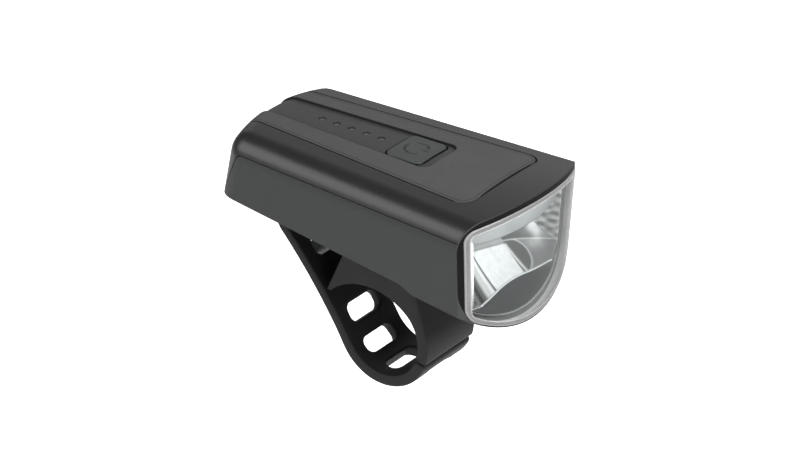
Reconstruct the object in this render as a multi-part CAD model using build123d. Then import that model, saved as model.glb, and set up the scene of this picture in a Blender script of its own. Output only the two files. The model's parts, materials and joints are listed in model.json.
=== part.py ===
from build123d import *
import math
import os

os.makedirs("parts", exist_ok=True)

# Frame: the origin is on the handlebar's axis at mid width
# +X is along the beam, +Y is to the rider's left and +Z is up
# Lengths are in millimetres, slopes in millimetres per millimetre, angles in degrees

# Outer form of the lamp
front_x = 44.7
top_z = 53.2
crown_radius = 112.0
half_width = 26.8
width_x = 36.0
plan_taper = 0.065
side_draft = 0.074
edge_radius = 7.0
rear_x = -51.6
rear_plan_radius = 60.0
rear_lean = 0.24
front_radius = 47.6
front_lean = 0.07
floor_z = 4.0

# Underside: the deep head in front and the shallow belly behind the step
keel_z = 14.5
keel_slope = 0.12
keel_radius = 43.5
step_x = 15.5
step_run = 4.5
belly_z = 23.2
belly_slope = 0.102
belly_radius = 84.0

# Walls and the seam between cover and housing
wall = 2.2
seam_z = 45.8
seam_gap = 0.2
seam_corner_x = -40.0
seam_corner_rise = 0.8
seam_corner_radius = 2.5
tail_x = -47.9
tail_z = 31.5
gasket_inset = 0.8
gasket_width = 0.8
gasket_depth = 1.0
gasket_end_x = 30.0

# Clearances and the overrun of every cut
fit = 0.1
over = 6.0

# Lens and what holds it
rim_side = 2.1
rim_top = 2.6
rim_bottom = 0.8
lens_corner = 3.0
lens_sunk = 0.3
lens_front = 2.0
lens_wall = 1.6
lens_depth = 6.3
seal_thick = 0.7
ledge_thick = 1.6
head_back_x = 13.0

# Reflector: one straight channel between two half bowls
focal_length = 8.8
apex_x = 22.0
focus_z = 44.3
channel_half = 6.2
facet_count = 3
bowl_reach = 26.0
reflector_skin = 1.6
lip_x = 34.4
lip_bow_radius = 55.0
rail_back_x = 20.5
rail_front_x = 28.5
rail_y = 20.4
wing_half = 23.2
wing_thick = 1.2
lamp_screw_y = 21.4
cheek_x = 24.0
cheek_half = 15.0
cheek_slope = 0.42
trim_clear = 0.5

# Mask under the reflector and the pale trim above it
mask_thick = 1.3
mask_drop = 0.9
mask_tuck = 1.5
mask_front_x = 41.5
mask_front_z = 17.4
trim_depth = 3.4
trim_thick = 1.2
trim_low_z = 43.4
trim_half = 20.5

# Light source and heat sink
led_size = 3.5
led_thick = 0.9
led_dome = 1.1
lamp_board_thick = 1.6
lamp_board_half = 14.0
lamp_board_back_x = 20.0
lamp_board_front_x = 37.0
sink_base = 0.9
sink_height = 3.2
fin_thick = 0.9
fin_count = 7

# Inlaid panel, smooth strip and power button on the top
recess_depth = 1.4
panel_groove = 0.45
panel_x = -25.8
panel_half = 12.6
panel_taper = 0.0758
panel_front_x = 32.0
panel_bulge = 1.0
panel_corner = 4.5
panel_end_z = 44.0
strip_sunk = 0.6
strip_x = -18.1
strip_half = 6.5
strip_taper = 0.0465
strip_front_x = 11.9
strip_corner = 3.0
button_x = 3.6
button_length = 11.8
button_width = 13.5
button_corner = 2.0
button_proud = 0.8
button_edge = 0.45
button_gap = 0.4
button_low_z = 49.95
button_flange = 0.9
button_flange_thick = 0.7
button_nib_radius = 1.6
icon_radius = 3.7
icon_groove = 0.45
icon_depth = 0.3
icon_gap_angle = 40.0

# Battery gauge: five light pipes over five small lights
gauge_count = 5
gauge_middle_x = -18.1
gauge_pitch = 5.0
gauge_radius = 0.95
gauge_sunk = 0.3
gauge_bar_half = 2.2
gauge_bar_thick = 1.0
gauge_light = (1.6, 1.0, 0.6)

# Driver board, switch and battery
board_z = 45.0
board_thick = 1.2
board_back_x = -35.0
board_front_x = 8.8
board_half = 18.6
board_corner = 1.5
board_post_x = (-32.0, 5.5)
board_post_y = 17.4
board_post_radius = 1.7
small_screw_radius = 0.8
small_head_radius = 1.5
small_head_thick = 0.9
small_screw_length = 5.0
switch_size = 6.0
switch_height = 2.2
switch_well = 1.2
plunger_radius = 1.7
button_travel = 0.6
cell_length = 44.0
cell_width = 31.0
cell_thick = 9.5
cell_corner = 1.5
cell_back_x = -31.5
cell_low_z = 32.9
pad_thick = 1.0
rib_x = (-26.0, -11.0, 9.0)
rib_thick = 1.4
rib_half = 13.0
plug_size = (5.0, 6.0, 2.3)
plug_x = 5.8
chip_size = (7.0, 7.0, 1.4)
chip_x = -14.0
chip_y = 9.5

# Charging port behind a rubber flap in the rear wall
port_z = 37.7
port_width = 9.0
port_height = 3.2
port_length = 7.4
port_shell = 0.3
port_tongue = 0.7
port_clear = 0.3
port_setback = 3.2
charge_board_length = 11.0
charge_board_half = 8.0
charge_board_thick = 1.2
charge_rib_y = 6.5
port_frame = 1.2
port_frame_thick = 1.4
flap_half = 6.8
flap_height = 8.0
flap_thick = 1.3
flap_sunk = 0.2
flap_clear = 0.2
flap_back_clear = 0.06
flap_plug = 0.9
flap_plug_clear = 0.45

# Handlebar seat: saddle and strap are rubber and share one width
bar_radius = 12.0
rubber_width = 22.0
saddle_split_angle = -28.0
saddle_leave_angle = 70.0
lip_corner_x = -17.8
lip_corner_z = 8.0
saddle_rear_lean = 0.4
saddle_front_angle = 15.0
saddle_edge = 0.9
key_half = 7.0
key_x = (-9.0, 6.0)
key_low_z = 17.0
key_corner = 1.5
key_boss_rise = 0.8
key_screw_x = (-5.5, 2.5)
key_screw_radius = 1.25
key_screw_head = 2.4
key_screw_head_thick = 1.6
key_screw_length = 9.0

# Strap: round the bar, then up to the hook
strap_thick = 3.4
strap_leave_angle = -150.0
strap_rise_radius = 160.0
strap_rise_length = 36.0
strap_curl_radius = 6.0
strap_curl_length = 3.6
hinge_gap = 0.3
slot_length = 12.5
slot_width = 5.5
slot_corner = 1.6
slot_pitch = 10.3
slot_count = 6
slot_first = 5.0

# Hook on the underside
hook_half = 5.2
hook_thick = 3.3
hook_clear = 0.15
hook_proud = 2.0
hook_stand = 0.2
hook_root = 6.5
hook_lean = 0.44
hook_gusset = 0.6

# Screws that hold cover and housing together
pillar_radius = 3.2
pillar_top = 43.0
screw_radius = 1.05
screw_head_radius = 1.9
screw_head_thick = 1.6
screw_recess = 2.8
screw_reach = 4.0
front_pillar = (12.2, 19.5)
rear_pillar = (-38.5, 13.0)


def rise(y, radius):
    """Height that a circle of this radius gains at a distance y from its lowest point."""
    return radius - math.sqrt(radius * radius - y * y)


def half_at(x, z):
    """Half width of the lamp's flat side at a station x and a height z."""
    return half_width - plan_taper * (width_x - x) - side_draft * (seam_z - z)


def section(x, side, top):
    """Sharp-cornered section across the lamp, drawn in by side and by top."""
    crown = crown_radius - top
    half = half_at(x, top_z) - side
    for _ in range(6):
        half = half_at(x, top_z - top - rise(half, crown)) - side
    shoulder = top_z - top - rise(half, crown)
    foot = half_at(x, floor_z) - side
    arc = ThreePointArc((-half, shoulder), (0, top_z - top), (half, shoulder))
    sides = Polyline((half, shoulder), (foot, floor_z), (-foot, floor_z), (-half, shoulder))
    return Plane.YZ.offset(x) * make_face([arc, sides])


def under_section(x, middle, side):
    """Section of the space under an arc that is this high in the middle and at the side."""
    reach = half_width + wall
    arc = ThreePointArc((-reach, side), (0, middle), (reach, side))
    below = Polyline((reach, side), (reach, floor_z - over), (-reach, floor_z - over), (-reach, side))
    return Plane.YZ.offset(x) * make_face([arc, below])


def keel_height(x):
    return keel_z + keel_slope * (front_x - x)


def belly_height(x):
    return belly_z + belly_slope * (step_x - x)


def under_head(inset):
    """Everything below the keel of the head."""
    reach = half_width + wall
    side = rise(reach, keel_radius - inset) + inset
    ends = (rear_x - over, front_x + over)
    return loft([under_section(x, keel_height(x) + inset, keel_height(x) + side) for x in ends], ruled=True)


def under_belly(inset):
    """Everything below the shallow belly, with the sloping step at its front."""
    reach = half_width + wall
    back_x = rear_x - over
    near_x = step_x + inset / 2
    far_x = near_x + step_run
    belly_side = rise(reach, belly_radius - inset) + inset
    keel_side = rise(reach, keel_radius - inset) + inset
    near = (belly_height(near_x) + inset, belly_height(near_x) + belly_side)
    far = (keel_height(far_x) + inset, keel_height(far_x) + keel_side)
    beyond = (2 * far[0] - near[0], 2 * far[1] - near[1])
    back = under_section(back_x, belly_height(back_x) + inset, belly_height(back_x) + belly_side)
    flat = loft([back, under_section(near_x, *near)], ruled=True)
    slope = loft([under_section(near_x, *near), under_section(far_x + step_run, *beyond)], ruled=True)
    return flat + slope


def rear_dome(inset):
    """A turned drum whose wall is the leaning, bowed rear end of the lamp."""
    centre_x = rear_x + rear_plan_radius
    low = floor_z - over
    high = top_z + over
    foot_x = rear_x + inset - rear_lean * (tail_z - low)
    head_x = rear_x + inset + rear_lean * (high - tail_z)
    half = make_face(Polyline((centre_x, low), (foot_x, low), (head_x, high), (centre_x, high), close=True))
    return revolve(Plane.XZ * half, Axis((centre_x, 0, 0), (0, 0, 1)), 360)


def form(inset=0):
    """The lamp's outer form, drawn in by inset on every side but the front."""
    ends = [section(rear_x - over, inset, inset), section(front_x + over, inset, inset)]
    body = loft(ends, ruled=True) & rear_dome(inset)
    rounded = []
    for edge in body.edges():
        box = edge.bounding_box()
        on_floor = box.max.Z < floor_z + fit
        at_front = box.min.X > front_x
        if not on_floor and not at_front:
            rounded.append(edge)
    body = fillet(rounded, edge_radius - inset)
    return body - under_head(inset) - under_belly(inset)


def head_prism(side, top, bottom, corner):
    """The head's outline as a long bar, drawn in by side, top and bottom."""
    ends = [section(head_back_x, side, top), section(front_x + over, side, top)]
    bar = loft(ends, ruled=True) - under_head(bottom)
    long_edges = [edge for edge in bar.edges() if edge.bounding_box().size.X > front_x - head_back_x]
    return fillet(long_edges, corner)


def ahead(depth):
    """Everything in front of the bowed, leaning front face at this depth."""
    tall = 2 * top_z
    axis_x = front_x - front_radius - front_lean * top_z
    lean_angle = math.degrees(math.atan(front_lean))
    drum = Pos(axis_x, 0, 0) * Rot(0, lean_angle, 0) * Cylinder(front_radius, 2 * tall)
    block = Pos(front_x, 0, 0) * Box(2 * front_x, 2 * front_radius, 2 * top_z + 2 * over)
    return Pos(-depth, 0, 0) * (block - drum)


def below_seam(shift):
    """Everything under the seam line, moved up and back by shift."""
    z = seam_z + shift
    line = Polyline(
        (front_x + over, floor_z - over),
        (front_x + over, z),
        (seam_corner_x - shift, z + seam_corner_rise),
        (tail_x - shift, tail_z),
        (tail_x - shift - over, floor_z - over),
        close=True,
    )
    side = make_face(line)
    corner = [v for v in side.vertices() if abs(v.X - (seam_corner_x - shift)) < fit]
    side = fillet(corner, seam_corner_radius)
    return extrude(Plane.XZ * side, half_width + over, both=True)


def rounded_prism(length, width, height, corner):
    """An upright block with rounded corners, centred in plan and standing on the plane at 0."""
    return extrude(RectangleRounded(length, width, corner), height)


def post(x, y, radius, low, high):
    """A round upright post between two heights."""
    return Pos(x, y, (low + high) / 2) * Cylinder(radius, high - low)


def block(x_range, y_range, z_range):
    """A block given by its limits."""
    size = [high - low for low, high in (x_range, y_range, z_range)]
    middle = [(high + low) / 2 for low, high in (x_range, y_range, z_range)]
    return Pos(*middle) * Box(*size)


def tongue(half, taper, station, front, bulge, corner, grow=0):
    """An upright prism that widens to the front, with rounded front corners."""
    back = rear_x - over
    back_half = half + taper * (back - station) + grow
    front_half = half + taper * (front - station) + grow
    tip = ThreePointArc((front + grow, -front_half), (front + bulge + grow, 0), (front + grow, front_half))
    left_side = [(front + grow, front_half), (back, back_half)]
    right_side = [(back, -back_half), (front + grow, -front_half)]
    sides = Polyline(*left_side, *right_side)
    outline = make_face([tip, sides])
    corners = [v for v in outline.vertices() if v.X > station]
    outline = fillet(corners, corner + grow)
    low = panel_end_z - grow
    return Pos(0, 0, low) * extrude(outline, top_z + over - low)


def screw(x, y, seat, radius, head_radius, head_thick, length, down):
    """A screw with its head on the seat, the shank going down or up from it."""
    way = -1 if down else 1
    head = post(x, y, head_radius, *sorted((seat, seat - way * head_thick)))
    shank = post(x, y, radius, *sorted((seat, seat + way * length)))
    return head + shank


def save(shape, name):
    """Write one piece of the lamp as its own file."""
    solids = shape.solids()
    shape = solids[0] if len(solids) == 1 else Compound(children=list(solids))
    shape.label = name
    export_step(shape, f"parts/{name}.step")
    print(name, len(solids), round(sum(solid.volume for solid in solids)))


# Outer skin, cavity and front opening
outer = form()
inside = form(wall)
ledge_depth = lens_depth + seal_thick
mouth_depth = ledge_depth + ledge_thick
ledge_inset = lens_wall + fit
mouth = (rim_side + ledge_inset, rim_top + ledge_inset, rim_bottom + ledge_inset, lens_corner - lens_wall)
pocket = head_prism(rim_side, rim_top, rim_bottom, lens_corner) & ahead(ledge_depth)
window = head_prism(*mouth) & ahead(mouth_depth + over)
skin = outer - ahead(0) - (inside - ahead(mouth_depth)) - pocket - window
housing = skin & below_seam(0)
cover = skin - below_seam(seam_gap)

# Lens, its seal and the trim behind it
lens_bar = head_prism(rim_side + fit, rim_top + fit, rim_bottom + fit, lens_corner)
core_inset = lens_wall + fit
core_corner = lens_corner - lens_wall
core = head_prism(rim_side + core_inset, rim_top + core_inset, rim_bottom + core_inset, core_corner)
lens_back = lens_sunk + lens_front
lens = ((lens_bar - ahead(lens_sunk)) & ahead(lens_depth)) - (core - ahead(lens_back))
seal = ((lens_bar - core) & ahead(ledge_depth)) - ahead(lens_depth)
inner_inset = core_inset + fit
inner_corner = lens_corner - lens_wall - fit
inner = head_prism(rim_side + inner_inset, rim_top + inner_inset, rim_bottom + inner_inset, inner_corner)
save(lens, "front_lens")
save(seal, "lens_seal")
trim = (inner & ahead(trim_depth + trim_thick)) - ahead(trim_depth)
trim = trim & block((rear_x, front_x), (-trim_half, trim_half), (trim_low_z, top_z))
save(trim, "upper_trim")


# Reflector: a channel between two half bowls, each drawn in by flat facets
def trough(apex, turn, side):
    """Long trough with a parabolic floor that faces a direction turned from straight down."""
    end_x = apex + bowl_reach * bowl_reach / (4 * focal_length)
    far_x = end_x + bowl_reach
    curve = Bezier((apex, 0), (apex, bowl_reach / 2), (end_x, bowl_reach))
    corners = [(end_x, bowl_reach), (far_x, bowl_reach), (far_x, -2 * bowl_reach), (apex, -2 * bowl_reach)]
    rest = Polyline(*corners, (apex, 0))
    angle = math.radians(turn)
    way = (0, math.cos(angle), side * math.sin(angle))
    plane = Plane(origin=(0, side * channel_half, focus_z), x_dir=(1, 0, 0), z_dir=way)
    return extrude(plane * make_face([curve, rest]), 3 * bowl_reach, both=True)


def bowl(skin_thick):
    """Space in front of the mirror, grown by a skin to the back and to the sides."""
    apex = apex_x - skin_thick
    space = trough(apex, 0, 1)
    for side in (1, -1):
        for index in range(facet_count):
            space = space & trough(apex, 90 * (index + 1) / facet_count, side)
    back_half = cheek_half + skin_thick + cheek_slope * (apex - cheek_x)
    front_half = cheek_half + skin_thick + cheek_slope * (front_x - cheek_x)
    left_side = [(apex, back_half), (front_x, front_half)]
    right_side = [(front_x, -front_half), (apex, -back_half)]
    plan = Polyline(*left_side, *right_side, close=True)
    return space & extrude(make_face(plan), focus_z)


lip_line = ThreePointArc(
    (lip_x + rise(half_width, lip_bow_radius), -half_width),
    (lip_x, 0),
    (lip_x + rise(half_width, lip_bow_radius), half_width),
)
behind_lip = make_face(
    [
        lip_line,
        Polyline(lip_line @ 1, (rear_x, half_width), (rear_x, -half_width), lip_line @ 0),
    ]
)
behind_lip = extrude(behind_lip, focus_z)
shell = (bowl(reflector_skin) - bowl(0)) & behind_lip
trim_space = block((cheek_x, front_x), (-half_width, half_width), (trim_low_z - fit, top_z))
shell = (shell & inner) - ahead(lens_back + trim_clear) - (trim_space & ahead(trim_depth + trim_thick + fit))
wing = block((rail_back_x, rail_front_x), (rail_y, wing_half), (focus_z - wing_thick, focus_z))
wing_height = (focus_z - wing_thick, focus_z)
joining = block((rail_back_x, rail_front_x), (cheek_half - cheek_slope, rail_y), wing_height)
wing = (wing + joining) - bowl(0)
wings = wing + mirror(wing, Plane.XZ)
screw_x = (rail_back_x + rail_front_x) / 2
reflector = shell + wings
board_length = (lamp_board_back_x, lamp_board_front_x)
board = block(board_length, (-lamp_board_half, lamp_board_half), (0, lamp_board_thick))
board = board + block((rail_back_x, rail_front_x), (-wing_half, wing_half), (0, lamp_board_thick))
board = Pos(0, 0, focus_z) * board
rails = block((rail_back_x, rail_front_x), (rail_y, half_width), (floor_z, focus_z - wing_thick))
rails = (rails + mirror(rails, Plane.XZ)) & form(wall / 2)
small_screw = (small_screw_radius, small_head_radius, small_head_thick, small_screw_length)
lamp_screws = []
seat = focus_z + lamp_board_thick
for side in (1, -1):
    y = side * lamp_screw_y
    bore = post(screw_x, y, small_screw_radius + fit, seat - small_screw_length - fit, seat)
    reflector = reflector - bore
    board = board - bore
    rails = rails - bore
    lamp_screws.append(screw(screw_x, y, seat, *small_screw, True))
housing = housing + rails
save(reflector, "reflector")
save(board, "lamp_board")
save(Compound(children=lamp_screws), "lamp_screws")
led = block((-led_size / 2, led_size / 2), (-led_size / 2, led_size / 2), (-led_thick, 0))
lower_half = block((-led_size, led_size), (-led_size, led_size), (-led_size, 0))
dome = Pos(0, 0, -led_thick) * (Sphere(led_dome) & lower_half)
save(Pos(apex_x + focal_length, 0, focus_z) * (led + dome), "lamp_led")
sink_low = seat
sink_limits = ((rail_front_x + fit, lamp_board_front_x), (-lamp_board_half, lamp_board_half))
sink = block(*sink_limits, (sink_low, sink_low + sink_base))
fin_pitch = (2 * lamp_board_half - fin_thick) / (fin_count - 1)
for index in range(fin_count):
    y = -lamp_board_half + fin_thick / 2 + index * fin_pitch
    fin = block(sink_limits[0], (y - fin_thick / 2, y + fin_thick / 2), (sink_low, sink_low + sink_height))
    sink = sink + fin
save(sink & inner, "heat_sink")

# Dark mask from under the lip to the foot of the lens
mask_back_z = focus_z - math.sqrt(4 * focal_length * (lip_x - apex_x)) - mask_drop
mask_slope = (mask_back_z - mask_front_z) / (mask_front_x - lip_x)
mask_back_x = lip_x - reflector_skin - mask_tuck
mask_high = mask_front_z + mask_slope * (mask_front_x - mask_back_x)
mask_low = mask_front_z - mask_slope * (front_x - mask_front_x)
mask_side = Polyline(
    (mask_back_x, mask_high),
    (front_x, mask_low),
    (front_x, mask_low - mask_thick),
    (mask_back_x, mask_high - mask_thick),
    close=True,
)
mask = extrude(Plane.XZ * make_face(mask_side), half_width, both=True)
mask = (mask & inner) - ahead(lens_back + trim_clear) - (bowl(reflector_skin + fit) & behind_lip)
save(mask, "reflector_mask")

# Panel recess in the cover, the inlaid panel and the smooth strip
panel_plan = (panel_half, panel_taper, panel_x, panel_front_x, panel_bulge, panel_corner)
strip_plan = (strip_half, strip_taper, strip_x, strip_front_x, strip_sunk, strip_corner)
recess_floor = form(recess_depth)
strip_space = tongue(*strip_plan)
cover = cover - (tongue(*panel_plan, panel_groove) - recess_floor)
panel = (outer & tongue(*panel_plan)) - recess_floor - strip_space
strip = (form(strip_sunk) & tongue(*strip_plan, -fit / 2)) - recess_floor

# Power button with its flange, nib and engraved ring
button_high_z = top_z + button_proud
opening_length = button_length + 2 * button_gap
opening_width = button_width + 2 * button_gap
opening = rounded_prism(opening_length, opening_width, top_z + over, button_corner + button_gap)
opening = Pos(button_x, 0, 0) * opening
button = rounded_prism(button_length, button_width, button_high_z - button_low_z, button_corner)
button = chamfer(button.faces().sort_by(Axis.Z)[-1].edges(), button_edge)
flange_length = button_length + 2 * button_flange
flange_width = button_width + 2 * button_flange
flange = rounded_prism(flange_length, flange_width, button_flange_thick, button_corner + button_flange)
gap_half = math.tan(math.radians(icon_gap_angle / 2))
wedge_reach = 2 * icon_radius
wedge_half = wedge_reach * gap_half
wedge = Polyline((0, 0), (-wedge_reach, -wedge_half), (-wedge_reach, wedge_half), close=True)
icon = Cylinder(icon_radius + icon_groove / 2, 2 * icon_depth)
icon = icon - Cylinder(icon_radius - icon_groove / 2, 2 * icon_depth)
icon = icon - extrude(make_face(wedge), icon_depth, both=True)
icon = icon + Pos(-icon_radius, 0, 0) * Box(icon_radius, icon_groove, 2 * icon_depth)
button = button - Pos(0, 0, button_high_z - button_low_z) * icon
board_top = board_z + board_thick
switch_top = board_top + switch_height
plunger_top = switch_top + button_travel
nib = post(0, 0, button_nib_radius, plunger_top - button_low_z, button_flange_thick)
button = Pos(button_x, 0, button_low_z) * (button + flange + nib)
cover = cover - opening
strip = strip - opening
save(button, "power_button")

# Tact switch under the button
well_floor = switch_top - switch_well
switch_span = (-switch_size / 2, switch_size / 2)
switch = block(switch_span, switch_span, (board_top, switch_top))
switch = switch - post(0, 0, plunger_radius + fit, well_floor, switch_top)
save(Pos(button_x, 0, 0) * switch, "switch_body")
plunger = post(button_x, 0, plunger_radius, well_floor + button_travel + fit, plunger_top)
save(plunger, "switch_plunger")

# Battery gauge: light pipes in the cover and small lights on the board
gauge_x = [gauge_middle_x + gauge_pitch * (index - gauge_count // 2) for index in range(gauge_count)]
light_low = board_top
light_high = board_top + gauge_light[2]
pipe_low = light_high + 3 * fit
pipe_high = top_z - strip_sunk - gauge_sunk
bar_low = top_z - wall - gauge_bar_thick
bar_ends = (gauge_x[0] - gauge_bar_half, gauge_x[-1] + gauge_bar_half)
pipes = block(bar_ends, (-gauge_bar_half, gauge_bar_half), (bar_low, top_z)) & inside
lights = []
for x in gauge_x:
    pipes = pipes + post(x, 0, gauge_radius, pipe_low, pipe_high)
    bore = post(x, 0, gauge_radius + fit, bar_low + gauge_bar_thick / 2, top_z)
    cover = cover - bore
    strip = strip - bore
    light_spans = [(-size / 2, size / 2) for size in gauge_light[:2]]
    light = block(*light_spans, (light_low, light_high))
    lights.append(Pos(x, 0, 0) * light)
save(pipes, "light_pipes")
save(Compound(children=lights), "gauge_lights")
save(panel, "top_panel")
save(strip, "centre_strip")

# Driver board on four posts, with its chip and the battery plug
driver = block((board_back_x, board_front_x), (-board_half, board_half), (board_z, board_top))
driver = fillet(driver.edges().filter_by(Axis.Z), board_corner)
board_screws = []
for x in board_post_x:
    for side in (1, -1):
        y = side * board_post_y
        column = post(x, y, board_post_radius, belly_z, board_z) & form(wall / 2)
        bore = post(x, y, small_screw_radius + fit, board_top - small_screw_length - fit, board_top)
        driver = driver - bore
        housing = housing + (column - bore)
        board_screws.append(screw(x, y, board_top, *small_screw, True))
save(driver, "driver_board")
save(Compound(children=board_screws), "board_screws")
chip = Pos(chip_x, chip_y, board_top + chip_size[2] / 2) * Box(*chip_size)
save(chip, "driver_chip")
plug = Pos(plug_x, 0, board_z - plug_size[2] / 2) * Box(*plug_size)
save(plug, "battery_plug")

# Battery on a foam pad over the cross ribs
cell_front_x = cell_back_x + cell_length
cell_span_z = (cell_low_z, cell_low_z + cell_thick)
cell = block((cell_back_x, cell_front_x), (-cell_width / 2, cell_width / 2), cell_span_z)
cell = fillet(cell.edges(), cell_corner)
pad_inset = 2 * cell_corner
pad = block(
    (cell_back_x + pad_inset, cell_front_x - pad_inset),
    (pad_inset - cell_width / 2, cell_width / 2 - pad_inset),
    (cell_low_z - pad_thick, cell_low_z),
)
save(cell, "battery_cell")
save(pad, "cell_pad")
for x in rib_x:
    rib_span = (x - rib_thick / 2, x + rib_thick / 2)
    rib = block(rib_span, (-rib_half, rib_half), (floor_z, cell_low_z - pad_thick))
    housing = housing + (rib & form(wall / 2))

# Charging port in the rear wall
port_x = rear_x + rear_lean * (port_z - tail_z)
wall_turn = math.degrees(math.atan(rear_lean))
port_plane = Pos(port_x, 0, port_z) * Rot(0, wall_turn, 0)
flap_low = flap_sunk
flap = block((flap_low, flap_low + flap_thick), (-flap_half, flap_half), (-flap_height / 2, flap_height / 2))
foot_edges = flap.edges().filter_by(Axis.Y).group_by(Axis.Z)[0]
flap = fillet(foot_edges, flap_thick / 2 - fit / 4)
plug_half = port_width / 2 + port_clear - flap_plug_clear
plug_rise = port_height / 2 + port_clear - flap_plug_clear
plug_end = flap_low + flap_thick + flap_plug
plug_lift = rear_lean * plug_end
stopper = block((flap_low, plug_end), (-plug_half, plug_half), (plug_lift - plug_rise, plug_lift + plug_rise))
flap = port_plane * (flap + stopper)
seat_half = flap_half + flap_clear
seat_rise = flap_height / 2 + flap_clear
seat_depth = flap_low + flap_thick + flap_back_clear
flap_seat = port_plane * block((-over, seat_depth), (-seat_half, seat_half), (-seat_rise, seat_rise))
frame_half = seat_half + port_frame
frame_rise = seat_rise + port_frame
frame_depth = (flap_sunk, flap_low + flap_thick + port_frame_thick)
frame_block = block(frame_depth, (-frame_half, frame_half), (-frame_rise, frame_rise))
frame_block = (port_plane * frame_block & form(wall / 2)) - below_seam(seam_gap)
port_hole = block(
    (rear_x - over, port_x + port_setback + port_length),
    (-port_width / 2 - port_clear, port_width / 2 + port_clear),
    (port_z - port_height / 2 - port_clear, port_z + port_height / 2 + port_clear),
)
cover = (cover + frame_block) - flap_seat - port_hole
save(flap, "port_flap")
socket_low = port_z - port_height / 2
socket_x = (port_x + port_setback, port_x + port_setback + port_length)
socket = block(socket_x, (-port_width / 2, port_width / 2), (socket_low, socket_low + port_height))
socket = fillet(socket.edges().filter_by(Axis.X), port_height / 3)
hollow = block(
    (socket_x[0] - over, socket_x[1] - port_shell),
    (port_shell - port_width / 2, port_width / 2 - port_shell),
    (socket_low + port_shell, socket_low + port_height - port_shell),
)
hollow = fillet(hollow.edges().filter_by(Axis.X), port_height / 3 - port_shell)
blade_half = port_width / 2 - 3 * port_tongue
blade = block(
    (socket_x[0] + port_tongue, socket_x[1]),
    (-blade_half, blade_half),
    (port_z - port_tongue / 2, port_z + port_tongue / 2),
)
save(socket - hollow + blade, "usb_socket")
charge_x = (socket_x[0] + fit, socket_x[0] + charge_board_length)
charge_span_z = (socket_low - charge_board_thick, socket_low)
charge = block(charge_x, (-charge_board_half, charge_board_half), charge_span_z)
save(charge, "charge_board")
for side in (1, -1):
    y = side * charge_rib_y
    rib = block(
        (charge_x[0] + 2 * rib_thick, charge_x[1]),
        (y - rib_thick / 2, y + rib_thick / 2),
        (floor_z, socket_low - charge_board_thick),
    )
    housing = housing + (rib & form(wall / 2) & below_seam(0))

# Gasket in the seam
gasket_layer = below_seam(seam_gap) - below_seam(-gasket_depth)
ring = (form(gasket_inset) - form(gasket_inset + gasket_width)) & gasket_layer
ring = ring & block((rear_x, gasket_end_x), (-half_width, half_width), (floor_z, top_z))
housing = housing - ring
save(ring, "seam_gasket")

# Pillars and screws that hold cover and housing together
housing_screws = []
cover_reach = form(recess_depth + fit)
for x, y in (front_pillar, rear_pillar):
    for side in (1, -1):
        under = belly_height(x) + rise(y, belly_radius)
        head_seat = under + screw_recess
        column = post(x, side * y, pillar_radius, floor_z, pillar_top) & form(fit)
        boss = post(x, side * y, pillar_radius, pillar_top, top_z) & cover_reach
        length = pillar_top + screw_reach - head_seat
        bore = post(x, side * y, screw_radius + fit, floor_z, pillar_top + screw_reach + fit)
        recess = post(x, side * y, screw_head_radius + 2 * fit, floor_z, head_seat)
        housing = (housing + (column & outer)) - bore - recess
        cover = (cover + boss) - bore
        housing_screws.append(
            screw(x, side * y, head_seat, screw_radius, screw_head_radius, screw_head_thick, length, False)
        )
save(Compound(children=housing_screws), "housing_screws")
save(cover, "top_cover")


# Handlebar saddle with its rigid key
def on_circle(radius, angle):
    """Point on a circle about the bar, in the side view, at an angle up from the front."""
    return (radius * math.cos(math.radians(angle)), radius * math.sin(math.radians(angle)))


strap_outer = bar_radius + strap_thick
strap_middle = bar_radius + strap_thick / 2
hinge_radius = strap_thick / 2
pivot = on_circle(strap_middle, saddle_split_angle)
saddle_low_angle = saddle_split_angle + math.degrees((hinge_radius + hinge_gap) / strap_middle)
saddle_low_inner = on_circle(bar_radius, saddle_low_angle)
saddle_low_outer = on_circle(strap_outer, saddle_low_angle)
leave = on_circle(bar_radius, saddle_leave_angle)
leave_heading = math.radians(saddle_leave_angle + 90)
seat_arc = ThreePointArc(saddle_low_inner, on_circle(bar_radius, saddle_leave_angle / 2), leave)
leave_way = (math.cos(leave_heading), math.sin(leave_heading))
lip_arc = TangentArc(leave, (lip_corner_x, lip_corner_z), tangent=leave_way)
saddle_top_z = belly_z + over
front_touch = on_circle(strap_outer, saddle_front_angle)
front_run = math.tan(math.radians(saddle_front_angle)) * (saddle_top_z - front_touch[1])
rear_run = saddle_rear_lean * (saddle_top_z - lip_corner_z)
saddle_sides = Polyline(
    (lip_corner_x, lip_corner_z),
    (lip_corner_x + rear_run, saddle_top_z),
    (front_touch[0] - front_run, saddle_top_z),
    front_touch,
)
outer_arc = ThreePointArc(front_touch, on_circle(strap_outer, saddle_low_angle / 2), saddle_low_outer)
saddle_end = Line(saddle_low_outer, saddle_low_inner)
saddle_face = make_face([seat_arc, lip_arc, saddle_sides, outer_arc, saddle_end])
saddle_face = fillet(saddle_face.vertices().sort_by(Axis.X)[0], saddle_edge)
saddle = extrude(Plane.XZ * saddle_face, rubber_width / 2, both=True) - outer
key = block(key_x, (-key_half, key_half), (key_low_z, saddle_top_z)) - outer
key = fillet(key.edges().filter_by(Axis.Z), key_corner)
saddle = saddle - key
key_screw = (key_screw_radius, key_screw_head, key_screw_head_thick, key_screw_length)
key_screws = []
for x in key_screw_x:
    under = belly_height(x)
    boss_top = under + wall + key_boss_rise
    boss = post(x, 0, key_screw_head + fit, under + wall / 2, boss_top)
    bore = post(x, 0, key_screw_radius + fit, boss_top - key_screw_length - fit, boss_top)
    housing = (housing + boss) - bore
    key = key - bore
    key_screws.append(screw(x, 0, boss_top, *key_screw, True))
save(saddle, "strap_saddle")
save(key, "saddle_key")
save(Compound(children=key_screws), "key_screws")


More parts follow.
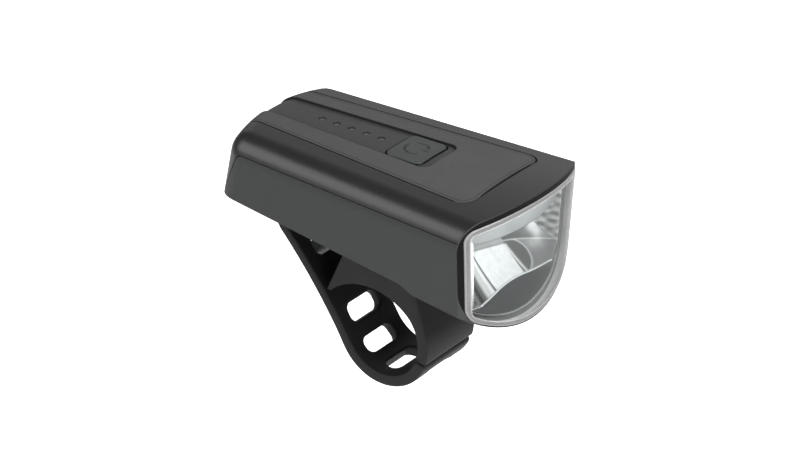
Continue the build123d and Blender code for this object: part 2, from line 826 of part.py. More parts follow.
# Strap: once round the bar, then up to the hook, with slots along its length
def strap_line(offset):
    """The strap's run at this offset outside its centre line: round the bar, up and a curl."""
    start = on_circle(strap_middle + offset, saddle_split_angle)
    heading = math.radians(saddle_split_angle - 90)
    rise_angle = math.degrees(strap_rise_length / strap_rise_radius)
    curl_angle = math.degrees(strap_curl_length / strap_curl_radius)
    way = (math.cos(heading), math.sin(heading))
    turn = strap_leave_angle - saddle_split_angle
    loop = JernArc(start, way, strap_middle + offset, turn)
    climb = JernArc(loop @ 1, loop % 1, strap_rise_radius - offset, rise_angle)
    curl = JernArc(climb @ 1, climb % 1, strap_curl_radius + offset, -curl_angle)
    return [loop, climb, curl]


middle_line = strap_line(0)
near_line = strap_line(-strap_thick / 2)
far_line = strap_line(strap_thick / 2)
cap_angle = math.radians(saddle_split_angle + 90)
cap_middle = (pivot[0] + hinge_radius * math.cos(cap_angle), pivot[1] + hinge_radius * math.sin(cap_angle))
cap = ThreePointArc(near_line[0] @ 0, cap_middle, far_line[0] @ 0)
tip = Line(near_line[2] @ 1, far_line[2] @ 1)
strap_face = make_face([*near_line, *far_line, cap, tip])
strap = extrude(Plane.XZ * strap_face, rubber_width / 2, both=True)
loop_length = middle_line[0].length


def station(distance):
    """Point and heading on the strap's centre line at a distance from the pivot."""
    if distance < loop_length:
        return middle_line[0] @ (distance / loop_length), middle_line[0] % (distance / loop_length)
    along = (distance - loop_length) / strap_rise_length
    return middle_line[1] @ along, middle_line[1] % along


for index in range(slot_count):
    place, heading = station(slot_first + slot_pitch * index)
    plane = Plane(origin=(place.X, 0, place.Y), x_dir=(0, 1, 0), z_dir=(-heading.Y, 0, heading.X))
    slot = extrude(plane * RectangleRounded(slot_length, slot_width, slot_corner), strap_thick, both=True)
    strap = strap - slot
save(strap, "strap")

# Hook on the underside that holds the strap by its last slot
slot_place, slot_heading = station(slot_first + slot_pitch * (slot_count - 1))
hook_angle = math.atan2(slot_heading.Y, slot_heading.X)
along_way = (math.cos(hook_angle), math.sin(hook_angle))
out_way = (-math.sin(hook_angle), math.cos(hook_angle))


def hook_point(along, out):
    """Point of the hook's side view, measured along the strap and out through its slot."""
    x = slot_place.X + along * along_way[0] + out * out_way[0]
    return (x, slot_place.Y + along * along_way[1] + out * out_way[1])


hook_base = -strap_thick / 2 - hook_stand
hook_tip = strap_thick / 2 + hook_proud
hook_shift = hook_lean * (hook_tip - hook_base)
hook_high = slot_width / 2 - hook_clear
hook_low = hook_high - hook_thick
base_high = hook_point(hook_high, hook_base)
base_low = hook_point(hook_low, hook_base)
hook_top_z = belly_height(base_high[0]) + wall / 2
root_x = base_high[0] + hook_root
hook_side = Polyline(
    base_low,
    hook_point(hook_low - hook_shift, hook_tip),
    hook_point(hook_high - hook_shift, hook_tip),
    base_high,
    (base_high[0], hook_top_z),
    (root_x, hook_top_z),
    (root_x, base_low[1] + hook_root * hook_gusset),
    close=True,
)
hook = extrude(Plane.XZ * make_face(hook_side), hook_half, both=True)
housing = housing + (hook - inside)
save(housing, "lower_housing")
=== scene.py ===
# %% [markdown]
# # A bike headlight, dressed for the studio
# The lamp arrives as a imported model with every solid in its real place, in metres.
# This lesson gives each piece its finish, replaces the optics and the rubber with
# finer surfaces worked out with numpy, and lights the whole like a catalogue picture.
# Shapes are worked out in millimetres, as on a drawing, and become metres when they
# become meshes. Only the camera, the lamps and the floor are placed in metres.

import json
import math

import bmesh
import bpy
import numpy as np
from mathutils import Matrix, Vector


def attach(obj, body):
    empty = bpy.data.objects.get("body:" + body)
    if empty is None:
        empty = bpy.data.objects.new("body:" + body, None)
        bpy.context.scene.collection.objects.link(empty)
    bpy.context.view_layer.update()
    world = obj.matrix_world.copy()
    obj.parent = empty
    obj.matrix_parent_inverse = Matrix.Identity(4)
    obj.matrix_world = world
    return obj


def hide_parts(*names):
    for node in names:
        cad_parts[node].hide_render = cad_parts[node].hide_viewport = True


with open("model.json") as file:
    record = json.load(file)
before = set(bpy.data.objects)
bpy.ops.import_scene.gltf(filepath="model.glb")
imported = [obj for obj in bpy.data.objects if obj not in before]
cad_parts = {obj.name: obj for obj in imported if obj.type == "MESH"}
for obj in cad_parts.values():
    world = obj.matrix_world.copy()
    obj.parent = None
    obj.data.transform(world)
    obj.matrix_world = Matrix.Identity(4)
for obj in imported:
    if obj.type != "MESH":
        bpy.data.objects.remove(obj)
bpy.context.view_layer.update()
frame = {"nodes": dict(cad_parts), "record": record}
nodes = frame["nodes"]
mm = 0.001
print("pieces in the packed model:", len(nodes))

# %% [markdown]
# ## Camera
# A long lens from above and to the front left keeps the lamp's edges almost parallel.
# The camera's three axes are worked out from azimuth and elevation, which is clearer
# than turning an object by hand, and its place is measured along those axes.

# %% Camera
azimuth = math.radians(36.9)
elevation = math.radians(27.8)
camera_away = 0.9383
camera_aside = 0.01295
camera_below = 0.02566
aim = Vector((-0.0181, 0.0, 0.0523))
back = Vector(
    (
        math.sin(azimuth) * math.cos(elevation),
        -math.cos(azimuth) * math.cos(elevation),
        math.sin(elevation),
    )
)
right = Vector((math.cos(azimuth), math.sin(azimuth), 0.0))
up = back.cross(right)
camera_data = bpy.data.cameras.new("camera")
camera_data.lens = 157.5
camera_data.sensor_width = 36.0
camera_data.clip_start = 0.05
camera = bpy.data.objects.new("camera", camera_data)
bpy.context.scene.collection.objects.link(camera)
place = aim + camera_away * back + camera_aside * right - camera_below * up
camera.matrix_world = Matrix.Translation(place) @ Matrix((right, up, back)).transposed().to_4x4()
bpy.context.scene.camera = camera
bpy.context.scene.view_settings.view_transform = "Standard"
print("camera at:", [round(value, 3) for value in place])

# %% [markdown]
# ## A dim room that looks white
# Black plastic is drawn almost wholly by what it reflects, so the surround may not be
# bright. The Light Path node tells what kind of ray asks for the background: a ray that
# comes straight from the camera, or through clear plastic, is given white, and every
# other ray is given the dim room.

# %% World
white = (1.0, 1.0, 1.0, 1.0)
room_strength = 0.14


def node_tree(owner):
    """Switch a material or world to nodes and hand back its empty tree."""
    owner.use_nodes = True
    owner.node_tree.nodes.clear()
    return owner.node_tree


def add(tree, kind, settings, **properties):
    """Outputs of a new node; values are set on its inputs, and sockets are linked to them."""
    node = tree.nodes.new(kind)
    for title, value in properties.items():
        setattr(node, title, value)
    for title, value in settings.items():
        if isinstance(value, bpy.types.NodeSocket):
            tree.links.new(value, node.inputs[title])
        else:
            node.inputs[title].default_value = value
    return node.outputs


def reckon(tree, operation, *values):
    """One math node on numbers and sockets."""
    return add(tree, "ShaderNodeMath", dict(enumerate(values)), operation=operation)[0]


def mixed(tree, factor, first, second):
    """The first shader where the factor is 0, and the second where it is 1."""
    return add(tree, "ShaderNodeMixShader", {"Fac": factor, 1: first, 2: second})[0]


def surround(tree, strength):
    """An even white background of this strength."""
    return add(tree, "ShaderNodeBackground", {"Color": white, "Strength": strength})[0]


world = bpy.data.worlds.new("studio")
bpy.context.scene.world = world
tree = node_tree(world)
rays = add(tree, "ShaderNodeLightPath", {})
direct = reckon(tree, "MAXIMUM", rays["Is Camera Ray"], rays["Is Transmission Ray"])
studio = mixed(tree, direct, surround(tree, room_strength), surround(tree, 1.0))
add(tree, "ShaderNodeOutputWorld", {"Surface": studio})
print("strength of the room:", room_strength)

# %% [markdown]
# ## Softboxes
# Each softbox is a lamp and a shape to be mirrored. The long one at the near side draws
# the broad highlight along the shoulder, a small one above the front fills the optics,
# and one overhead spreads over the crown. A weak one behind keeps the far edges from
# going black, and a low one in front reaches the lens from under its brow.

# %% Lamps
# Name, direction from the object, distance, width and height in metres, power in watts.
lamps = (
    ("side_softbox", (-0.53, -0.8, 0.45), 0.7, 0.8, 0.45, 4.2),
    ("front_softbox", (0.85, -0.2, 0.6), 0.55, 0.3, 0.3, 4.2),
    ("top_softbox", (0.3, 0.1, 1.0), 1.0, 0.6, 0.6, 1.8),
    ("back_softbox", (-0.53, 0.71, 0.47), 1.0, 0.9, 0.9, 1.5),
    ("low_softbox", (0.8, -0.45, -0.05), 0.8, 0.4, 0.4, 3.4),
)


def softbox(name, towards, distance, width, height, power):
    """A soft rectangular lamp in a direction from the object, aimed back at it."""
    data = bpy.data.lights.new(name, "AREA")
    data.shape = "RECTANGLE"
    data.size = width
    data.size_y = height
    data.energy = power
    lamp = bpy.data.objects.new(name, data)
    bpy.context.scene.collection.objects.link(lamp)
    way = Vector(towards).normalized()
    facing = way.to_track_quat("Z", "Y").to_matrix().to_4x4()
    lamp.matrix_world = Matrix.Translation(aim + distance * way) @ facing


for lamp in lamps:
    softbox(*lamp)
print("softboxes:", len(lamps))

# %% [markdown]
# ## Paper sweep
# A sheet of pale matt paper lies under the lamp. It takes light and shadow as paper
# does, and a glow that only the camera sees lifts it to the white of the background
# without putting any more light on the lamp.


# %% Paper
def paper_material():
    """Pale matt paper plus a glow for rays that come straight from the camera."""
    material = bpy.data.materials.new("paper_sweep")
    tree = node_tree(material)
    matt = add(tree, "ShaderNodeBsdfDiffuse", {"Color": (0.93, 0.93, 0.93, 1.0)})[0]
    glow = add(tree, "ShaderNodeEmission", {"Color": white, "Strength": 0.8})[0]
    dark = add(tree, "ShaderNodeEmission", {"Strength": 0.0})[0]
    seen = add(tree, "ShaderNodeLightPath", {})["Is Camera Ray"]
    both = add(tree, "ShaderNodeAddShader", {0: matt, 1: mixed(tree, seen, dark, glow)})[0]
    add(tree, "ShaderNodeOutputMaterial", {"Surface": both})
    return material


floor_half = 6.0
floor_height = -0.085
floor_signs = ((-1.0, -1.0), (1.0, -1.0), (1.0, 1.0), (-1.0, 1.0))
floor_corners = [(floor_half * x, floor_half * y, floor_height) for x, y in floor_signs]
floor_mesh = bpy.data.meshes.new("paper")
floor_mesh.from_pydata(floor_corners, [], [(0, 1, 2, 3)])
floor_mesh.materials.append(paper_material())
floor = bpy.data.objects.new("paper", floor_mesh)
bpy.context.scene.collection.objects.link(floor)
print("paper lies at:", floor_height)

# %% [markdown]
# ## What a finish is made of
# Every moulded piece is coloured plastic or rubber with a fine texture. A principled
# shader could hold one flat colour, but real mouldings are never quite even, so colour
# and roughness follow noise. The noise is read in object coordinates, so that it is the
# same size on every piece.


# %% Node helpers
def noise(tree, coordinates, size, detail, roughness=0.5):
    """Noise whose blobs are about this many millimetres across."""
    settings = {"Vector": coordinates, "Scale": 1.0 / (size * mm), "Detail": detail}
    return add(tree, "ShaderNodeTexNoise", {**settings, "Roughness": roughness})["Fac"]


def spread(tree, value, low, high):
    """Map noise from its usual range on to low and high."""
    ends = {"From Min": 0.3, "From Max": 0.7, "To Min": low, "To Max": high}
    return add(tree, "ShaderNodeMapRange", {"Value": value, **ends})["Result"]


def two_tone(tree, factor, first, second):
    """Colour that runs from the first to the second with the factor."""
    settings = {"Factor": factor, "A": first, "B": second}
    return add(tree, "ShaderNodeMix", settings, data_type="RGBA")["Result"]


def opaque(colour):
    """Red, green and blue with full alpha."""
    return (*colour, 1.0)


# %% [markdown]
# ## Joints and painted shade, drawn as fine dark lines
# The pieces meet in joints of a few tenths of a millimetre, too fine to show as clean
# dark lines by shape alone, so the finishes darken them. The same kind of line is painted
# shade on the fine step inside the panel and on the edges of the power sign. No curve is
# drawn for that: math nodes work out how far each point lies past an outline, seen from
# above, and a compare node is 1 within a narrow range of that distance. The distance past
# a rounded corner is the root of the sum of the squares of the distances past its two
# sides, each taken with the corner's radius.


# %% Distances to the outlines
def plan_distance(tree, side, ahead, corner):
    """Signed distance past an outline, from the distances past its side and past its end."""
    over_side = reckon(tree, "MAXIMUM", reckon(tree, "ADD", side, corner), 0.0)
    over_end = reckon(tree, "MAXIMUM", reckon(tree, "ADD", ahead, corner), 0.0)
    square = reckon(tree, "MULTIPLY", over_end, over_end)
    squares = reckon(tree, "MULTIPLY_ADD", over_side, over_side, square)
    within = reckon(tree, "MINIMUM", reckon(tree, "MAXIMUM", side, ahead), -corner)
    return reckon(tree, "ADD", reckon(tree, "SQRT", squares), within)


def tongue_distance(tree, parts, half, taper, station, front, corner):
    """Distance past a tongue that widens to the front from its half width at a station."""
    half_at_origin = (half - taper * station) * mm
    across = reckon(tree, "SUBTRACT", reckon(tree, "ABSOLUTE", parts["Y"]), half_at_origin)
    side = reckon(tree, "MULTIPLY_ADD", parts["X"], -taper, across)
    return plan_distance(tree, side, reckon(tree, "SUBTRACT", parts["X"], front * mm), corner * mm)


def near(tree, value, middle, half_width):
    """1 where a value lies within half a width of a middle, both in millimetres."""
    return reckon(tree, "COMPARE", value, middle * mm, half_width * mm)


# %% Lines of the panel, the strip and the seam
panel_plan = {"half": 12.6, "taper": 0.0758, "station": -25.8, "front": 32.6, "corner": 4.5}
strip_plan = {"half": 6.5, "taper": 0.0465, "station": -18.1, "front": 12.3, "corner": 3.0}
seam_z = 46.35
seam_climb = 0.00882


def panel_line(tree, parts):
    """1 in the groove round the inlaid panel."""
    return near(tree, tongue_distance(tree, parts, **panel_plan), 0.22, 0.26)


def panel_step_shade(tree, parts):
    """1 on the fine step just inside the panel's edge, where it is darkened as painted shade."""
    return near(tree, tongue_distance(tree, parts, **panel_plan), -0.8, 0.09)


def strip_line(tree, parts):
    """1 in the narrow joint beside the smooth strip."""
    return near(tree, tongue_distance(tree, parts, **strip_plan), 0.05, 0.16)


def seam_line(tree, parts):
    """1 along the seam, whose height grows a little to the rear."""
    return near(tree, reckon(tree, "MULTIPLY_ADD", parts["X"], seam_climb, parts["Z"]), seam_z, 0.15)


print("half width of the panel, and of the strip:", panel_plan["half"], strip_plan["half"])

# %% Lines of the power button
button_x = 3.6
button_half = (5.9, 6.75)
button_corner = 2.0
sign_radius = 3.2
sign_bar = (1.5, 3.6)
sign_bar_end = 0.2
sign_gap_half = 1.4
sign_stroke_half = 0.25
sign_line_half = 0.07
sign_shade_strength = 0.75


def button_line(tree, parts):
    """1 in the gap round the power button."""
    along = reckon(tree, "ABSOLUTE", reckon(tree, "SUBTRACT", parts["X"], button_x * mm))
    ahead = reckon(tree, "SUBTRACT", along, button_half[0] * mm)
    side = reckon(tree, "SUBTRACT", reckon(tree, "ABSOLUTE", parts["Y"]), button_half[1] * mm)
    return near(tree, plan_distance(tree, side, ahead, button_corner * mm), 0.2, 0.26)


def sign_edge_shade(tree, parts):
    """Painted shade, partly 1, on both edges of the sunk power sign: a ring that is open ahead, and a bar
    in the gap.
    """
    ahead = reckon(tree, "SUBTRACT", parts["X"], button_x * mm)
    aside = reckon(tree, "ABSOLUTE", parts["Y"])
    squares = reckon(tree, "MULTIPLY_ADD", ahead, ahead, reckon(tree, "MULTIPLY", aside, aside))
    past_ring = reckon(tree, "SUBTRACT", reckon(tree, "SQRT", squares), sign_radius * mm)
    both_edges = near(tree, reckon(tree, "ABSOLUTE", past_ring), sign_stroke_half, sign_line_half)
    in_front = reckon(tree, "GREATER_THAN", ahead, 0.0)
    gap = reckon(tree, "MULTIPLY", in_front, reckon(tree, "LESS_THAN", aside, sign_gap_half * mm))
    ring_edge = reckon(tree, "MULTIPLY", both_edges, reckon(tree, "SUBTRACT", 1.0, gap))
    bar_middle = (sign_bar[0] + sign_bar[1]) / 2.0
    along_bar = near(tree, ahead, bar_middle, sign_bar[1] - bar_middle + sign_bar_end)
    bar_edge = reckon(tree, "MULTIPLY", near(tree, aside, sign_stroke_half, sign_line_half), along_bar)
    return reckon(tree, "MULTIPLY", reckon(tree, "MAXIMUM", ring_edge, bar_edge), sign_shade_strength)


print("half size of the button:", button_half)

# %% [markdown]
# ## One helper for all finishes
# A finish has a colour that wanders slightly, a roughness between two values and a grain
# of a given size and depth. The bevel node rounds the look of sharp edges, so that they
# catch light as moulded edges do, and the lines from above are laid over the colour.

# %% Finish helper
cloud_size = 6.0
soft_edge = 0.3
bump_height = 0.1
line_black = (0.002, 0.002, 0.002, 1.0)


def finish(name, colour, shine, grain, depth, drift, metal=0.0, specular=0.5, lines=()):
    """Principled shader with drifting colour, roughness between two values and a fine grain."""
    material = bpy.data.materials.new(name)
    tree = node_tree(material)
    where = add(tree, "ShaderNodeTexCoord", {})["Object"]
    darker = opaque(value * (1.0 - drift) for value in colour)
    lighter = opaque(min(1.0, value * (1.0 + drift)) for value in colour)
    cloud = spread(tree, noise(tree, where, cloud_size, 3.0), 0.0, 1.0)
    tone = two_tone(tree, cloud, darker, lighter)
    if lines:
        parts = add(tree, "ShaderNodeSeparateXYZ", {0: where})
        for line in lines:
            tone = two_tone(tree, line(tree, parts), tone, line_black)
    grainy = noise(tree, where, grain, 3.0, 0.6)
    rounded = add(tree, "ShaderNodeBevel", {"Radius": soft_edge * mm}, samples=4)[0]
    bump = {"Normal": rounded, "Strength": depth, "Distance": bump_height * mm, "Height": grainy}
    settings = {
        "Base Color": tone,
        "Roughness": spread(tree, grainy, *shine),
        "Normal": add(tree, "ShaderNodeBump", bump)[0],
        "Metallic": metal,
        "Specular IOR Level": specular,
    }
    shader = add(tree, "ShaderNodeBsdfPrincipled", settings)[0]
    add(tree, "ShaderNodeOutputMaterial", {"Surface": shader})
    return material


# %% [markdown]
# ## The finishes
# The cover is satin black, the panel a paler grained plastic and the housing a shade
# between them, as on the real lamp. Inside are the usual metals, resins and boards. Each
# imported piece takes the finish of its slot, also where a finer surface replaces it later.

# %% Finishes
# Name, colour, range of roughness, size of the grain in mm, its depth, drift of the colour.
finishes = {
    "cover": finish(
        "satin_black_plastic", (0.012, 0.0118, 0.0115), (0.3, 0.36), 0.2, 0.03, 0.05,
        specular=0.4, lines=(panel_line, button_line, seam_line),
    ),
    # Besides its dark joints, the panel has a line of painted shade on the step inside its edge.
    "panel": finish(
        "grained_panel_plastic", (0.047, 0.0475, 0.0475), (0.5, 0.62), 0.45, 0.5, 0.06,
        specular=0.4, lines=(panel_line, panel_step_shade, strip_line, button_line),
    ),
    "strip": finish(
        "smooth_strip_plastic", (0.022, 0.0225, 0.0225), (0.42, 0.5), 0.3, 0.06, 0.04,
        specular=0.4, lines=(button_line,),
    ),
    # Besides the dark gap round it, the button has painted shade on both edges of its sunk sign.
    "button": finish(
        "button_rubber", (0.036, 0.041, 0.039), (0.5, 0.6), 0.25, 0.1, 0.05,
        specular=0.4, lines=(button_line, sign_edge_shade),
    ),
    "housing": finish(
        "housing_plastic", (0.0138, 0.0153, 0.0148), (0.46, 0.54), 0.22, 0.06, 0.04,
        specular=0.4, lines=(seam_line,),
    ),
    "rubber": finish("strap_rubber", (0.008, 0.008, 0.0082), (0.45, 0.58), 0.4, 0.12, 0.12, specular=0.2),
    "rim": finish("rim_black", (0.006, 0.006, 0.006), (0.4, 0.5), 0.4, 0.02, 0.1, specular=0.03),
    "flap": finish("flap_rubber", (0.02, 0.02, 0.021), (0.5, 0.6), 0.3, 0.1, 0.1),
    "gasket": finish("gasket_rubber", (0.012, 0.012, 0.012), (0.5, 0.6), 0.3, 0.1, 0.1),
    "pad": finish("pad_foam", (0.04, 0.04, 0.042), (0.8, 0.9), 0.4, 0.6, 0.2),
    "mask": finish("mask_plastic", (0.043, 0.046, 0.046), (0.32, 0.4), 0.3, 0.03, 0.06),
    "trim": finish("frosted_trim", (0.33, 0.34, 0.34), (0.35, 0.55), 0.5, 0.2, 0.08),
    "mirror": finish("mirror_metal", (0.85, 0.86, 0.87), (0.06, 0.1), 0.6, 0.02, 0.03, metal=1.0),
    "screw": finish("screw_steel", (0.42, 0.42, 0.43), (0.25, 0.4), 0.2, 0.1, 0.1, metal=1.0),
    "socket": finish("socket_plating", (0.6, 0.6, 0.62), (0.15, 0.25), 0.3, 0.05, 0.05, metal=1.0),
    "sink": finish("sink_aluminium", (0.5, 0.51, 0.52), (0.35, 0.5), 0.3, 0.15, 0.06, metal=1.0),
    "cell": finish("cell_foil", (0.55, 0.56, 0.58), (0.3, 0.45), 1.5, 0.2, 0.05, metal=1.0),
    "board": finish("board_mask", (0.012, 0.09, 0.035), (0.25, 0.4), 0.4, 0.1, 0.15),
    "chip": finish("chip_resin", (0.015, 0.015, 0.017), (0.4, 0.5), 0.2, 0.1, 0.1),
    "switch": finish("switch_plastic", (0.018, 0.018, 0.018), (0.35, 0.45), 0.2, 0.05, 0.1),
    "plunger": finish("plunger_plastic", (0.5, 0.48, 0.42), (0.35, 0.45), 0.3, 0.05, 0.05),
    "plug": finish("plug_plastic", (0.75, 0.74, 0.7), (0.35, 0.45), 0.3, 0.05, 0.05),
    "light": finish("small_light_resin", (0.75, 0.72, 0.5), (0.2, 0.3), 0.3, 0.03, 0.05),
    "pipe": finish("light_pipe_resin", (0.03, 0.03, 0.03), (0.12, 0.2), 0.4, 0.02, 0.05),
    "led": finish("led_resin", (0.85, 0.78, 0.42), (0.2, 0.3), 0.4, 0.03, 0.05),
    "key": finish("key_nylon", (0.05, 0.05, 0.054), (0.45, 0.55), 0.3, 0.1, 0.08),
    "lens": finish("lens_plastic", (0.9, 0.92, 0.92), (0.03, 0.05), 1.0, 0.0, 0.02),
}
slots = {entry["node"]: entry["material_slot"] for entry in frame["record"]["subparts"]}


def dress(thing, material):
    """Give a piece this one finish."""
    thing.data.materials.clear()
    thing.data.materials.append(material)


for name, thing in nodes.items():
    dress(thing, finishes[slots[name]])
print("finishes made:", len(finishes))

# %% [markdown]
# ## Surfaces from arrays
# The lens, mirror and mask are surfaces of two parameters. One helper takes a grid of
# points, worked out as a whole with numpy, and joins it into quads. It can close the
# grid round one way, and it stores extra numbers on the points for the finishes to read.

# %% Grid helper
merge_distance = 1e-6


def surface(name, points, wrap=False, marks=None, ladders=False):
    """Mesh object from an (n, m, 3) grid in millimetres, with a quad between each four neighbours.

    wrap joins the last column to the first. ladders closes the first and the last row with
    rungs from one half of the row to the other. marks are numbers to store on the points.
    """
    rows, columns = points.shape[:2]
    index = np.arange(rows * columns).reshape(rows, columns)
    if wrap:
        index = np.concatenate([index, index[:, :1]], axis=1)
    corners = [index[:-1, :-1], index[:-1, 1:], index[1:, 1:], index[1:, :-1]]
    quads = np.stack(corners, axis=-1).reshape(-1, 4)
    if ladders:
        rung = np.arange(columns // 2 - 1)
        steps = np.stack([rung, rung + 1, columns - 2 - rung, columns - 1 - rung], axis=-1)
        quads = np.concatenate([quads, steps, (rows - 1) * columns + steps])
    mesh = bpy.data.meshes.new(name)
    mesh.vertices.add(rows * columns)
    mesh.vertices.foreach_set("co", (points.reshape(-1) * mm).astype(np.float32))
    mesh.loops.add(quads.size)
    mesh.loops.foreach_set("vertex_index", quads.reshape(-1).astype(np.int32))
    mesh.polygons.add(len(quads))
    mesh.polygons.foreach_set("loop_start", np.arange(0, quads.size, 4, dtype=np.int32))
    mesh.update(calc_edges=True)
    mesh.polygons.foreach_set("use_smooth", np.ones(len(quads), dtype=bool))
    for title, values in (marks or {}).items():
        layer = mesh.attributes.new(title, "FLOAT", "POINT")
        layer.data.foreach_set("value", values.reshape(-1).astype(np.float32))
    thing = bpy.data.objects.new(name, mesh)
    bpy.context.scene.collection.objects.link(thing)
    return thing


def closed(thing):
    """Merge coincident points, as at seams and poles, and turn every face outwards."""
    shell = bmesh.new()
    shell.from_mesh(thing.data)
    bmesh.ops.remove_doubles(shell, verts=shell.verts, dist=merge_distance)
    bmesh.ops.recalc_face_normals(shell, faces=shell.faces)
    shell.to_mesh(thing.data)
    shell.free()


def walled(thing, thickness, offset):
    """Give a sheet a wall in millimetres: before its faces at offset 1, behind them at -1."""
    wall = thing.modifiers.new("wall", "SOLIDIFY")
    wall.thickness = thickness * mm
    wall.offset = offset


def settle(thing, body, slot_name, material, *replaced):
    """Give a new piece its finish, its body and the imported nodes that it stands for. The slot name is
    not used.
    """
    dress(thing, material)
    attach(thing, body)
    if replaced:
        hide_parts(*replaced)
    print(thing.name, "points:", len(thing.data.vertices))


# %% [markdown]
# ## The mouth of the lamp
# The lens fills a mouth with four bowed sides: two walls that lean in downwards, a crown
# above and a round keel below. A point is inside while it is inside all of them, and the
# corners are rounded by measuring the distance past two sides together. Rays from the
# middle, halved again and again, find where each meets that outline.

# %% Front surface and outline
front_x, front_radius, front_lean = 44.808, 47.6, 0.07
wall_y, wall_x, wall_z = 26.8, 36.0, 45.8
wall_taper, wall_lean = 0.065, 0.074
crown_z, crown_radius = 53.2, 112.0
keel_z, keel_x = 14.5, 44.7
keel_climb, keel_radius = 0.12, 43.5


def rise(y, radius):
    """How far a circle of this radius has risen at a distance y from its lowest point."""
    return radius - np.sqrt(np.maximum(radius * radius - y * y, 0.0))


def front_surface(y, z, depth):
    """x of the bowed, leaning front: the front edge, less the bow, plus the lean, less the depth."""
    return front_x - rise(y, front_radius) + front_lean * (z - crown_z) - depth


def past_outline(y, z, x, side, top, bottom, corner):
    """Signed distance past the rounded meeting of walls, crown and keel, each drawn in."""
    half = wall_y - wall_taper * (wall_x - x) - wall_lean * (wall_z - z)
    wall = np.abs(y) - (half - side)
    crown = z - (crown_z - rise(y, crown_radius) - top)
    keel = keel_z + keel_climb * (keel_x - x) + rise(y, keel_radius - bottom) + bottom - z
    sides = np.stack([wall, crown, keel])
    over = np.linalg.norm(np.maximum(sides + corner, 0.0), axis=0)
    return np.minimum(sides.max(axis=0), -corner) + over


# %% Rays and rings
middle_z = 34.0
furthest = 40.0
swell_from, swell_width = 4.0, 12.0
turns = np.linspace(0.0, 2.0 * np.pi, 360, endpoint=False)


def ramp(value, start, width):
    """0 up to the start, and from there evenly up to 1 over the width."""
    return np.clip((value - start) / width, 0.0, 1.0)


def outline(side, top, bottom, corner, depth):
    """Reach of each ray from the middle to the outline at a depth, found by halving."""
    inner_end = np.zeros_like(turns)
    outer_end = np.full_like(turns, furthest)
    for _ in range(40):
        reach = (inner_end + outer_end) / 2.0
        y = reach * np.cos(turns)
        z = middle_z + reach * np.sin(turns)
        x = front_surface(y, z, depth)
        inside = past_outline(y, z, x, side, top, bottom, corner) < 0.0
        inner_end = np.where(inside, reach, inner_end)
        outer_end = np.where(inside, outer_end, reach)
    return inner_end


def ring(reach, share, depth, proud=0.0):
    """Points at a share of the reach, on the front surface at a depth and proud at the sides."""
    y = share * reach * np.cos(turns)
    z = middle_z + share * reach * np.sin(turns)
    swell = proud * ramp(np.abs(y), swell_from, swell_width)
    return np.stack([front_surface(y, z, depth) + swell, y, z], axis=-1)


def drawn_in(sizes, further, corner):
    """The sizes of an outline with its three sides drawn in further, and another corner."""
    return (*(side + further for side in sizes[:3]), corner)


print("mouth, middle to keel:", round(outline(0.0, 0.0, 0.0, 1.0, 0.0)[270], 2))

# %% [markdown]
# ## The lens
# The real lens is one clear moulding: a bowed plate with a skirt that goes back into the
# lamp. The plate is crystal clear, and its edge and the skirt glow pale because light
# travels along inside them. Real refraction through such a thin wall is slow and dark, so
# that glow is painted light: each ring of points stores how frosted it is and how bright
# it is painted, and the finish reads that.

# %% Lens sizes
# How far the walls, crown and keel are drawn in, and the radius of the corners.
rim = (1.85, 1.65, 0.4, 2.9)
skirt = (2.25, 2.75, 0.95, 2.9)
thick = 1.5
inner = drawn_in(skirt, thick, skirt[3] - thick)
plate_depth, seat_depth, back_depth, skirt_depth = -0.08, 0.03, 2.4, 6.2
proud = 0.26
bevel, bevel_steps = 0.45, 5
# How frosted the bevel is, and how bright it is painted.
frosted, painted_edge_tone = 0.95, 0.22
clear_line, clear_width = 1.95, 0.26
faint_line, faint_width = 1.6, 0.16
band_width, band_blend = 1.55, 0.15
edge_share = 0.84
shares = np.concatenate([np.linspace(0.0, edge_share, 12)[:-1], np.linspace(edge_share, 1.0, 26)])


def bump_at(distance, middle, width):
    """A smooth hump: 1 in the middle, falling away with the square of the distance."""
    return np.exp(-(((distance - middle) / width) ** 2))


def plate_marks(points):
    """How frosted points of the plate are, and how bright they are painted, by their distance inside its
    edge.

    The outermost band is frosted and painted dim. Two fine painted highlights run inside it: a faint one
    all round, and a clear one that shows only along the near wall.
    """
    x, y, z = points.T
    distance = -past_outline(y, z, x, *rim)
    near_wall_highlight = ramp(-y, 20.2, 1.2) * ramp(47.0, z, 2.0) * ramp(z, 24.0, 9.0)
    faint = 0.5 * bump_at(distance, faint_line, faint_width)
    line = near_wall_highlight * bump_at(distance, clear_line, clear_width) + faint
    band = 0.85 * ramp(band_width, distance, band_blend)
    return np.clip(band + line, 0.0, 1.0), np.clip(0.14 + 0.86 * line, 0.0, 1.0)


print("rings across the plate:", len(shares))

# %% Lens mesh
rings, frost, tone = [], [], []


def lay(points, opacity, brightness):
    """Keep one ring of the lens with how frosted it is and how bright it is painted."""
    rings.append(points)
    frost.append(opacity + 0.0 * turns)
    tone.append(brightness + 0.0 * turns)


plate_reach = outline(*drawn_in(rim, bevel, rim[3]), plate_depth)
for share in shares:
    points = ring(plate_reach, share, plate_depth, proud)
    lay(points, *plate_marks(points))
# The bevel round the plate is frosted and painted dim.
for turn in np.linspace(0.0, math.pi / 2.0, bevel_steps + 1)[1:]:
    depth = plate_depth + (seat_depth - plate_depth) * (1.0 - math.cos(turn))
    reach = outline(*drawn_in(rim, bevel * (1.0 - math.sin(turn)), rim[3]), depth)
    lay(ring(reach, 1.0, depth, proud * math.cos(turn)), frosted, painted_edge_tone)
